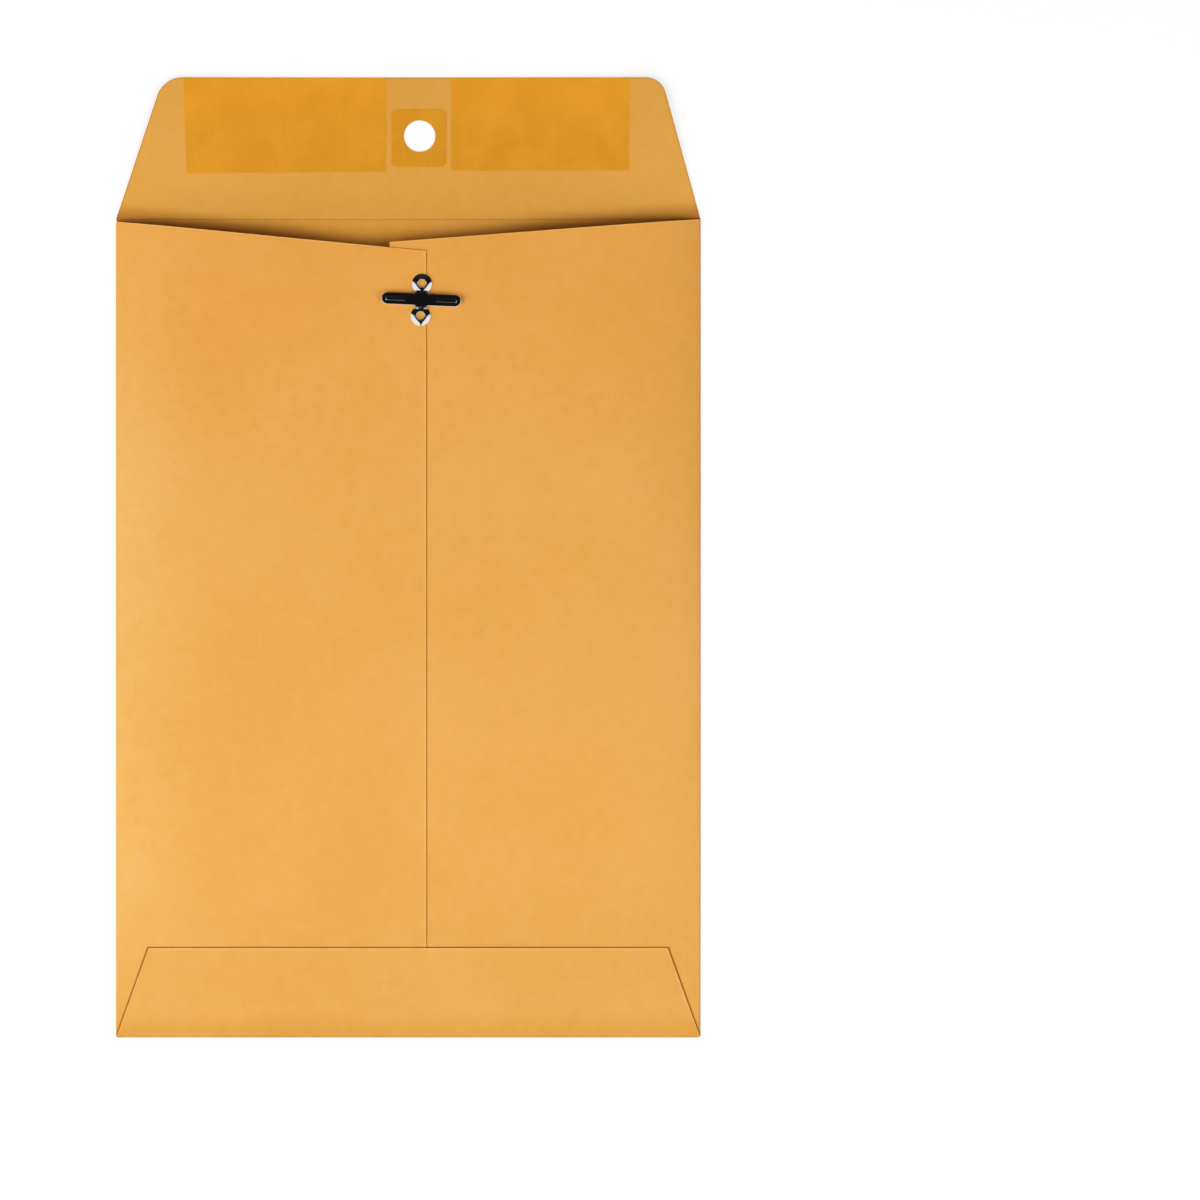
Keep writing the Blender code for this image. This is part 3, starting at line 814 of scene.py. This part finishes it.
def bottom_flap_tree():
    """Upper face of the bottom flap, from under the bottom crease to its free edge."""
    sizes = {
        **POCKET, "Flap Inset": BOTTOM_FLAP_INSET, "End Gap": BOTTOM_FLAP_END_GAP,
        "Columns": 150, "Fold Rows": 10, "Rows": 22,
    }
    tree, size = new_tree("bottom_flap", sizes)
    rows = size["Rows"] + size["Fold Rows"]
    grid, across, up = unit_grid(tree, size["Columns"], rows)
    fold_share = size["Fold Rows"] / rows
    turn = math.pi * (1.0 - up / fold_share).clamped()
    reach = ((up - fold_share) / (1.0 - fold_share)).clamped().crowded()
    half = size["Half Width"] - size["End Gap"] - size["Flap Inset"] * reach
    x = (across.crowded() * 2.0 - 1.0) * half
    lap = x.size().ramp(size["Half Width"], size["Lap"])
    plies = size["Paper"] + size["Ply"] * (2.0 + lap)
    radius = plies * 0.5
    bottom = size["Body Height"] * -0.5
    y = bottom + radius + reach * (size["Flap Height"] - radius)
    top_lift = lift_field(size, (1.0 - reach) * size["Flap Height"])
    side_lift = lift_field(size, half - x.size()) * reach.ramp(SIDE_LIFT_START, SIDE_LIFT_FULL)
    level = plies + gape_field(size, x, y) + top_lift.larger(side_lift)
    height = level - radius * (1.0 - turn.cosine())
    end_tree(tree, placed(tree, grid, x, y - radius * turn.sine(), height), kraft_outside)
    return tree


def clasp_matrix():
    return Matrix.Translation(CLASP_PLACE) @ Matrix.Rotation(CLASP_TURN, 4, "Z")


def eyelet_hole_cutters():
    cutters = []
    for name, side in (("upper_eyelet_hole", 1), ("lower_eyelet_hole", -1)):
        centre = clasp_matrix() @ Vector((0, side * EYELET_PITCH / 2, 0))
        cutters.append(drum(name, centre, EYELET_HOLE_RADIUS, EYELET_HOLE_STEPS))
    return cutters


def mouth_height(across, corner_drop, drop):
    """Height of a back panel's mouth, by how far a place lies toward the panel's own side."""
    share = (HALF_WIDTH - across) / (HALF_WIDTH + LAP)
    return FOLD_Y - corner_drop - (drop - corner_drop) * share


def bottom_flap_gaps(place):
    """How far a place lies beyond the bottom flap's top and its slanted end."""
    up = place.y - BOTTOM_Y
    slant = abs(place.x) - HALF_WIDTH + BOTTOM_FLAP_INSET * up / BOTTOM_FLAP_HEIGHT
    return (up - BOTTOM_FLAP_HEIGHT, slant, FAR)


def left_panel_gaps(place):
    """How far a place on the right panel lies beyond the left panel's edge and its mouth."""
    mouth = mouth_height(-place.x, LEFT_CORNER_DROP, LEFT_PANEL_DROP)
    return (place.x - LAP, place.y - mouth, HALF_WIDTH - place.x)


def mouth_gap(place):
    """How far a place on the inside paper lies beyond the mouth of the panel above it."""
    if place.z < PAPER / 2 + flap_lift(place.x, place.y) - crease_dip(place.y):
        return nothing_near(place)
    if place.x < -LAP:
        mouth = mouth_height(-place.x, LEFT_CORNER_DROP, LEFT_PANEL_DROP)
    else:
        mouth = mouth_height(place.x, 0.0, RIGHT_PANEL_DROP)
    return (max(place.y - mouth, 0.0), abs(place.x), FAR)


def outer_creases(place):
    """How far a place lies from the left side crease and from the bottom."""
    return (HALF_WIDTH + place.x, FAR, place.y - BOTTOM_Y)


def above_bottom(place):
    """How far a place lies from the bottom."""
    return (FAR, FAR, place.y - BOTTOM_Y)


def back_panel(tree, name, side, corner_drop, drop, plies, cutters):
    sizes = {"Side": side, "Corner Drop": corner_drop, "Mouth Drop": drop, "Plies Climbed": plies}
    sheet = piece_from_tree(name, tree, sizes)
    thicken(face_up(sheet), PAPER, OUTSIDE_UP)

    def free_edges(place):
        mouth = mouth_height(side * place.x, corner_drop, drop)
        return (mouth - place.y, LAP + side * place.x, FAR)

    keep_place(smooth(bake(cut(sheet, cutters))), free_edges, outer_creases)
    store(sheet, "flap_over", bottom_flap_gaps)
    store(sheet, "lap_over", left_panel_gaps if side > 0 else nothing_near)
    return sheet


def bottom_flap(name):
    sheet = piece_from_tree(name, bottom_flap_tree(), {})
    thicken(face_up(sheet), PAPER, OUTSIDE_UP)

    def free_edges(place):
        beyond_top, beyond_end, _ = bottom_flap_gaps(place)
        return (-beyond_top, -beyond_end, FAR)

    keep_place(smooth(bake(sheet)), free_edges, above_bottom)
    store(sheet, "lap_over", above_bottom)
    return sheet


def row_mesh(name, rows):
    """A sheet from rows of points, each row as long as the next."""
    mesh = bpy.data.meshes.new(name)
    width = len(rows[0])
    faces = []
    for row in range(len(rows) - 1):
        for column in range(width - 1):
            first = row * width + column
            faces.append((first, first + 1, first + width + 1, first + width))
    mesh.from_pydata([point for row in rows for point in row], [], faces)
    return mesh


def shares(count):
    """Even steps from 0 to 1."""
    return [index / count for index in range(count + 1)]


def steps_to(start, end, count):
    """Even steps from start to end, without the start itself."""
    return [start + (end - start) * share for share in shares(count)[1:]]


def bottom_fold_radius(x):
    """Half the height of the plies that the bottom fold goes round."""
    lap = ramp(HALF_WIDTH, LAP, abs(x))
    return (PAPER + PLY * (2 + lap)) / 2


def front_sheet(name):
    """The address panel, between the side folds, the bottom fold and the flap's bend."""
    half = HALF_WIDTH - SIDE_FOLD_RADIUS
    top = FOLD_Y - FLAP_BEND_HALF
    rows = []
    for up in shares(FRONT_CELLS):
        row = []
        for across in shares(FRONT_CELLS):
            x = half * (2 * across - 1)
            bottom = BOTTOM_Y + bottom_fold_radius(x)
            row.append((x, bottom + (top - bottom) * up, PAPER))
        rows.append(row)
    sheet = face_up(new_piece(name, row_mesh(name, rows)))
    thicken(sheet, PAPER, INSIDE_UP)
    keep_place(smooth(bake(sheet)), creases=outer_creases)
    store(sheet, "mouth_over", mouth_gap)
    return sheet


def flap_edge(y, inset, radius):
    """Half width of the closure flap at a height, round its corner."""
    rise = FLAP_TOP - FOLD_Y
    if y <= FOLD_Y:
        return HALF_WIDTH - SIDE_FOLD_RADIUS * ramp(FOLD_Y, FOLD_Y - SIDE_FOLD_RADIUS, y)
    heading = math.atan2(rise, inset)
    reach = radius * math.tan(heading / 2)
    corner_start = FLAP_TOP - reach * math.sin(heading)
    if y <= corner_start:
        return HALF_WIDTH - inset * (y - FOLD_Y) / rise
    over = y - (FLAP_TOP - radius)
    return HALF_WIDTH - inset - reach + math.sqrt(max(radius**2 - over**2, 0.0))


def flap_lift(x, y):
    """The flap's corners curl up a little from the table, and lie down over the pocket when it is closed."""
    along = ramp(FOLD_Y + CURL_START, FOLD_Y + CURL_END, y)
    return FLAP_CURL * (abs(x) / HALF_WIDTH) ** CURL_POWER * along


def crease_dip(y):
    """How deep the score along the flap's fold is pressed at a height."""
    share = min(abs(y - FOLD_Y) / CREASE_HALF, 1.0)
    return CREASE_DEPTH * (1 - share * share) ** 2


def closure_flap(name, cutters):
    """The flap from the front sheet's end to its free edge, scored along the fold."""
    bend = [FOLD_Y + FLAP_BEND_HALF * (2 * share - 1) for share in shares(FLAP_BEND_ROWS)]
    corner = FLAP_TOP - FLAP_LEFT_RADIUS
    middle = steps_to(bend[-1], corner, FLAP_ROWS)
    tip = [corner + FLAP_LEFT_RADIUS * math.sin(share * math.pi / 2) for share in shares(FLAP_TIP_ROWS)[1:]]
    rows = []
    for y in bend + middle + tip:
        left = -flap_edge(y, FLAP_LEFT_INSET, FLAP_LEFT_RADIUS)
        right = flap_edge(y, FLAP_RIGHT_INSET, FLAP_RIGHT_RADIUS)
        row = []
        for across in shares(FLAP_COLUMNS):
            x = left + (right - left) * across
            row.append((x, y, PAPER + flap_lift(x, y) - crease_dip(y)))
        rows.append(row)
    sheet = face_up(new_piece(name, row_mesh(name, rows)))
    thicken(sheet, PAPER, INSIDE_UP)

    def outline(place):
        left = flap_edge(place.y, FLAP_LEFT_INSET, FLAP_LEFT_RADIUS) + place.x
        right = flap_edge(place.y, FLAP_RIGHT_INSET, FLAP_RIGHT_RADIUS) - place.x
        return (FAR, FAR, max(min(FLAP_TOP - place.y, left, right), 0.0))

    keep_place(smooth(bake(cut(sheet, cutters))), creases=lambda place: (FAR, place.y - FOLD_Y, FAR))
    store(sheet, "lap_over", outline)
    store(sheet, "mouth_over", mouth_gap)
    return sheet


def rounded_outline(corners, wobble):
    """Points along straight sides and rounded corners, anticlockwise, with a slightly uneven edge."""
    turns = []
    for index, (x, y, radius) in enumerate(corners):
        here = Vector((x, y))
        back = (Vector(corners[index - 1][:2]) - here).normalized()
        ahead = (Vector(corners[(index + 1) % len(corners)][:2]) - here).normalized()
        half_angle = back.angle(ahead) / 2
        reach = radius / math.tan(half_angle)
        centre = here + (back + ahead).normalized() * radius / math.sin(half_angle)
        first = here + back * reach - centre
        last = here + ahead * reach - centre
        arc = [centre + first.lerp(last, share).normalized() * radius for share in shares(CORNER_STEPS)]
        turns.append(arc)
    points = []
    for index, arc in enumerate(turns):
        points += arc
        start, end = arc[-1], turns[(index + 1) % len(turns)][0]
        count = max(int((end - start).length / OUTLINE_STEP), 1)
        points += [start.lerp(end, share) for share in shares(count)[1:-1]]
    uneven = []
    for point in points:
        push = noise.noise_vector(Vector((point.x, point.y, 0)) / WOBBLE_PITCH)
        uneven.append((point.x + wobble * push.x, point.y + wobble * push.y))
    return uneven


def film(name, outline, thickness, material, cutters=()):
    """A thin film that lies on the flap and follows its curl."""
    sheet = bmesh.new()
    sheet.faces.new([sheet.verts.new((x, y, 0)) for x, y in outline])
    for axis in (0, 1):
        low = min(point[axis] for point in outline)
        high = max(point[axis] for point in outline)
        normal = Vector((1, 0, 0)) if axis == 0 else Vector((0, 1, 0))
        count = max(int((high - low) / FILM_CELL), 1)
        for share in shares(count)[1:-1]:
            everything = sheet.verts[:] + sheet.edges[:] + sheet.faces[:]
            place = normal * (low + (high - low) * share)
            bmesh.ops.bisect_plane(sheet, geom=everything, plane_co=place, plane_no=normal)
    for vertex in sheet.verts:
        vertex.co.z = PAPER + thickness + flap_lift(vertex.co.x, vertex.co.y)
    piece = face_up(new_piece(name, mesh_from(name, sheet)))
    thicken(piece, thickness + FILM_SINK, (material,))
    return smooth(bake(cut(piece, cutters)))


def dome_height(radius):
    """Height of an eyelet's dome, from its crest down to the rim that presses on the paper."""
    reach = min((radius - CREST_RADIUS) / (EYELET_RADIUS - CREST_RADIUS), 1.0)
    return EYELET_HEIGHT - (EYELET_HEIGHT - EYELET_SEAT) * reach ** DOME_POWER


def petal_reach(angle):
    """How far the torn lip of an eyelet reaches into its bore at an angle, in uneven petals."""
    turn = PETALS * angle + PETAL_SHIFT * math.sin(2 * angle + 0.4)
    change = 0.7 + 0.3 * math.cos(3 * angle + 1)
    return PETAL_REACH * change * (0.5 + 0.5 * math.cos(turn)) ** 2


def half_base(name):
    """Half of the clasp's base: one sheet from the clinch up the eyelet, over its dome and up to the bar."""
    centre = EYELET_PITCH / 2
    corner = math.atan2(NECK_HALF, centre)
    side = [corner * share for share in shares(NECK_STEPS)]
    side += steps_to(corner, NECK_FLARE, FLARE_STEPS)
    side += steps_to(NECK_FLARE, math.pi, ROUND_STEPS)
    angles = [-angle for angle in reversed(side[1:-1])] + side
    rows = []
    for angle in angles + angles[:1]:
        toward_bar = max(math.cos(angle), NEVER_ZERO)
        sideways = max(abs(math.sin(angle)), NEVER_ZERO)
        neck = 1 - ramp(NECK_CLEAR, NECK_END, abs(angle))
        petal = petal_reach(angle)
        row = list(BARREL)
        for radius, height in LIP:
            share = 1 - ramp(EYELET_BORE, CREST_RADIUS, radius)
            row.append((radius - petal * share, height + PETAL_CURL * petal * share))
        end = min(centre / toward_bar, NECK_HALF / sideways)
        foot = min((centre - RISER_FOOT) / toward_bar, end)
        top = min((centre - RISER_TOP) / toward_bar, end)
        stops = steps_to(CREST_RADIUS, foot, DOME_STEPS)
        stops += steps_to(foot, top, RISER_STEPS)
        stops += steps_to(top, end, BAR_STEPS)
        for along, share in zip(stops, shares(len(stops))[1:]):
            ring = CREST_RADIUS + (EYELET_RADIUS - CREST_RADIUS) * share
            ring_height = dome_height(ring)
            rise = 1 - ramp(RISER_TOP, RISER_FOOT, centre - along * toward_bar)
            height = dome_height(along) + (PRONG_TOP - dome_height(along)) * rise
            row.append((ring + (along - ring) * neck, ring_height + (height - ring_height) * neck))
        rows.append([
            (radius * math.sin(angle), centre - radius * math.cos(angle), height) for radius, height in row
        ])
    return row_mesh(name, rows)


def eyelet_slugs(name):
    """The paper left inside the eyelets, pushed up a little in the middle."""
    sheet = bmesh.new()
    for side in (1, -1):
        disc = bmesh.ops.create_circle(sheet, cap_ends=True, segments=SLUG_STEPS, radius=EYELET_BORE)
        middle = (0, side * EYELET_PITCH / 2, -SLUG_DEPTH)
        bmesh.ops.translate(sheet, verts=disc["verts"], vec=middle)
    for face in sheet.faces[:]:
        bmesh.ops.poke(sheet, faces=[face], offset=SLUG_CROWN)
    piece = face_up(new_piece(name, mesh_from(name, sheet)))
    bake(thicken(piece, PAPER, OUTSIDE_UP))
    piece.data.transform(clasp_matrix())
    return keep_place(smooth(piece))


def clasp_pair_tree():
    """Both halves of the clasp's base, turned about its middle and joined."""
    tree = bpy.data.node_groups.new("clasp_halves", "GeometryNodeTree")
    tree.interface.new_socket("Geometry", in_out="OUTPUT", socket_type="NodeSocketGeometry")
    tree.interface.new_socket("Half", in_out="INPUT", socket_type="NodeSocketGeometry")
    tree.interface.new_socket("Halves", in_out="INPUT", socket_type="NodeSocketInt").default_value = 2
    entry = tree.nodes.new("NodeGroupInput")
    halves = Field(tree, entry.outputs["Halves"])
    points = add_node(tree, "GeometryNodePoints", Count=halves)
    index = Field(tree, tree.nodes.new("GeometryNodeInputIndex").outputs[0])
    turn = add_node(tree, "ShaderNodeCombineXYZ", X=0.0, Y=0.0, Z=index * math.tau / halves)
    placed_halves = add_node(
        tree, "GeometryNodeInstanceOnPoints", Points=points.outputs[0],
        Instance=entry.outputs["Half"], Rotation=turn.outputs[0],
    )
    joined = add_node(tree, "GeometryNodeRealizeInstances", Geometry=placed_halves.outputs[0])
    closed = add_node(
        tree, "GeometryNodeMergeByDistance", Geometry=joined.outputs[0], Distance=BASE_WELD,
    )
    end_tree(tree, closed.outputs[0], tin)
    return tree


def stamped(piece):
    """Give a stamped sheet its thickness and put it in its place on the envelope."""
    thicken(face_up(piece), SHEET, (tin,))
    bake(piece)
    piece.data.transform(clasp_matrix())
    return smooth(piece, angle=50)


def clasp_base(name):
    piece = piece_from_tree(name, clasp_pair_tree(), {"Halves": 2}, half_base(name))
    return stamped(piece)


def prong_height(x, y):
    """Height of a prong's upper face from its flat, with the pressed bead and rolled edges."""
    ends = ramp(BEAD_START, BEAD_START + BEAD_FADE, x) * ramp(BEAD_END, BEAD_END - BEAD_TIP, x)
    bead = BEAD_RISE * ends * (1 - ramp(BEAD_TOP, BEAD_FOOT, abs(y)))
    tip = PRONG_REACH - PRONG_HALF
    from_middle = abs(y) if x <= tip else math.hypot(x - tip, y)
    roll = max(from_middle - (PRONG_HALF - EDGE_ROLL), 0.0) / EDGE_ROLL
    return bead - EDGE_DROP * roll * roll


def root_flare(x):
    """How much wider the prong is at its root, for a round inside corner where it leaves the neck."""
    reach = min(max((NECK_HALF + ROOT_FILLET - x) / ROOT_FILLET, 0.0), 1.0)
    return 1 + ROOT_FILLET * (1 - math.sqrt(1 - reach * reach)) / PRONG_HALF


def prong(name, side):
    """Prong from the side of the neck to its round tip, as one sheet."""
    tip = PRONG_REACH - PRONG_HALF
    root = [NECK_HALF] + steps_to(NECK_HALF, BEND_END, BEND_STEPS)
    shank = root + steps_to(BEND_END, tip, SHANK_STEPS)
    path = [(x, math.pi / 2) for x in shank]
    path += [(tip, math.pi / 2 - math.pi * share) for share in shares(TIP_STEPS)[1:]]
    path += [(x, -math.pi / 2) for x in reversed(shank[:-1])]
    steps = BEAD_STEPS + [BEAD_STEPS[-1] + EDGE_BAND * share for share in shares(EDGE_STEPS)[1:]]
    rows = []
    for start, angle in path:
        row = []
        for step in steps:
            x = start + step * MM * math.cos(angle)
            y = step * MM * math.sin(angle)
            row.append((side * x, side * y * root_flare(x), PRONG_TOP + prong_height(x, y)))
        rows.append(row)
    mesh = row_mesh(name, rows)
    sheet = bmesh.new()
    sheet.from_mesh(mesh)
    bmesh.ops.remove_doubles(sheet, verts=sheet.verts, dist=PRONG_WELD)
    bmesh.ops.recalc_face_normals(sheet, faces=sheet.faces)
    sheet.to_mesh(mesh)
    sheet.free()
    return stamped(new_piece(name, mesh))


# Build the envelope

eyelet_cutters = eyelet_hole_cutters()
hole_cutter = drum("clasp_hole", (*HOLE_CENTRE, 0), HOLE_RADIUS, CLASP_HOLE_STEPS)

panel_tree = side_panel_tree()
left_panel = back_panel(
    panel_tree, "left_panel_sheet", -1.0, LEFT_CORNER_DROP, LEFT_PANEL_DROP, 1.0, eyelet_cutters,
)
right_panel = back_panel(
    panel_tree, "right_panel_sheet", 1.0, 0.0, RIGHT_PANEL_DROP, 0.0, eyelet_cutters,
)
bottom_sheet = bottom_flap("bottom_flap_sheet")
address_sheet = front_sheet("front_sheet")
flap_sheet = closure_flap("closure_flap_sheet", [hole_cutter])

noise.seed_set(WOBBLE_SEED)
left_gum = film("gum_strip_left", rounded_outline(LEFT_GUM_CORNERS, GUM_WOBBLE), FILM, dry_gum)
right_gum = film("gum_strip_right", rounded_outline(RIGHT_GUM_CORNERS, GUM_WOBBLE), FILM, dry_gum)
patch_corners = [
    (PATCH_CENTRE[0] + across * PATCH_SIZE[0] / 2, PATCH_CENTRE[1] + up * PATCH_SIZE[1] / 2, PATCH_RADIUS)
    for across, up in ((-1, -1), (1, -1), (1, 1), (-1, 1))
]
patch_outline = rounded_outline(patch_corners, PATCH_WOBBLE)
patch = film("hole_patch_film", patch_outline, PATCH_FILM, patch_paper, [hole_cutter])

base = clasp_base("clasp_base_stamping")
slugs = eyelet_slugs("eyelet_paper")
left_prong = prong("left_prong_stamping", -1)
right_prong = prong("right_prong_stamping", 1)
remove(eyelet_cutters + [hole_cutter])

# Join the pieces to the frame

for piece, node in (
    (left_panel, "left_back_panel"), (right_panel, "right_back_panel"),
    (bottom_sheet, "bottom_flap"), (address_sheet, "front_panel"),
):
    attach(piece, "body")
    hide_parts(node)

bend_start = (0, FOLD_Y - FLAP_BEND_HALF, 0)
bend_end = (0, FOLD_Y + FLAP_BEND_HALF, 0)
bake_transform(flap_sheet, "body", "flap", start=bend_start, end=bend_end)
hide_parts("closure_flap")

for piece, node, finish in (
    (left_gum, "gum_left", "gum"), (right_gum, "gum_right", "gum"), (patch, "hole_patch", "patch_paper"),
):
    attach(piece, "flap")
    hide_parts(node)

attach(slugs, "body")
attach(base, "body")
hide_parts("clasp_base")
for piece, side, body, node in (
    (left_prong, -1, "left_prong", "clasp_prong_left"), (right_prong, 1, "right_prong", "clasp_prong_right"),
):
    prong_start = clasp_matrix() @ Vector((side * NECK_HALF, 0, PRONG_TOP))
    prong_end = clasp_matrix() @ Vector((side * BEND_END, 0, PRONG_TOP))
    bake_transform(piece, "body", body, start=prong_start, end=prong_end)
    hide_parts(node)

for node in ("seam_glue", "bottom_flap_glue"):
    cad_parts[node].data.materials.clear()
    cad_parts[node].data.materials.append(glue)


# Table, light and camera


def seen_rays(tree):
    """1 for the rays that show a background: camera, glossy and transmission rays."""
    rays = tree.nodes.new("ShaderNodeLightPath")
    kinds = ("Camera", "Glossy", "Transmission")
    camera, glossy, through = [Field(tree, rays.outputs[f"Is {kind} Ray"]) for kind in kinds]
    return (camera + glossy + through).clamped()


def pale_table():
    top = bmesh.new()
    bmesh.ops.create_circle(top, cap_ends=True, segments=96, radius=TABLE_RADIUS)
    bmesh.ops.translate(top, verts=top.verts, vec=(0, 0, -TABLE_GAP))
    table = new_piece("pale_table", mesh_from("pale_table", top))
    material, tree, shader = new_material("pale_table")
    shader.inputs["Base Color"].default_value = TABLE_GREY
    shader.inputs["Roughness"].default_value = 0.9
    shader.inputs["Specular IOR Level"].default_value = 0.0
    shader.inputs["Emission Color"].default_value = WHITE
    glow = TABLE_GLOW * seen_rays(tree)
    tree.links.new(glow.socket, shader.inputs["Emission Strength"])
    table.data.materials.append(material)


def surroundings():
    """Dim even light from all round. The metal mirrors a white horizon, two windows and a dark ceiling."""
    world = bpy.data.worlds.new("studio")
    bpy.context.scene.world = world
    world.use_nodes = True
    tree = world.node_tree
    tree.nodes.clear()
    direction = tree.nodes.new("ShaderNodeTexCoord")
    parts = add_node(tree, "ShaderNodeSeparateXYZ", Vector=direction.outputs["Generated"])
    east, north, height = [Field(tree, part) for part in parts.outputs]
    horizon = height.ramp(HORIZON_TOP, HORIZON_LOW)
    window = (WINDOW_EAST * east.size() - WINDOW_SOUTH * north).ramp(WINDOW_START, WINDOW_END)
    ceiling = CEILING + NORTH_CEILING * north.ramp(NORTH_START, NORTH_END)
    shown = ceiling + BRIGHT * horizon.larger(window)
    seen = seen_rays(tree)
    strength = EVEN_LIGHT * (1.0 - seen) + shown * seen
    backdrop = add_node(tree, "ShaderNodeBackground", Color=WHITE, Strength=strength)
    last = tree.nodes.new("ShaderNodeOutputWorld")
    tree.links.new(backdrop.outputs[0], last.inputs[0])


def softbox(name, place, size, power):
    """A soft lamp aimed at the envelope, which the camera and the metal don't see."""
    light = bpy.data.lights.new(name, "AREA")
    light.shape = "RECTANGLE"
    light.size, light.size_y = size
    light.energy = power
    lamp = bpy.data.objects.new(name, light)
    lamp.location = place
    aim = Vector((0, 0, 0)) - Vector(place)
    lamp.rotation_euler = aim.to_track_quat("-Z", "Y").to_euler()
    lamp.visible_camera = False
    lamp.visible_glossy = False
    bpy.context.scene.collection.objects.link(lamp)


def camera():
    lens = bpy.data.cameras.new("camera")
    lens.lens = LENS
    lens.sensor_width = SENSOR
    lens.dof.use_dof = False
    lens.clip_start = 0.01
    lens.clip_end = 50.0
    view = bpy.data.objects.new("camera", lens)
    distance = VIEW_WIDTH * lens.lens / lens.sensor_width
    view.location = (*VIEW_MIDDLE, distance)
    bpy.context.scene.collection.objects.link(view)
    bpy.context.scene.camera = view


pale_table()
surroundings()
softbox("west_softbox", place=(-0.75, -0.32, 0.75), size=(0.8, 1.0), power=10.65)
softbox("east_softbox", place=(0.75, -0.32, 0.75), size=(0.8, 1.0), power=6.7)
softbox("south_fill", place=(0.0, -2.4, 0.95), size=(2.2, 0.22), power=6.0)
camera()
bpy.context.scene.view_settings.view_transform = "Standard"
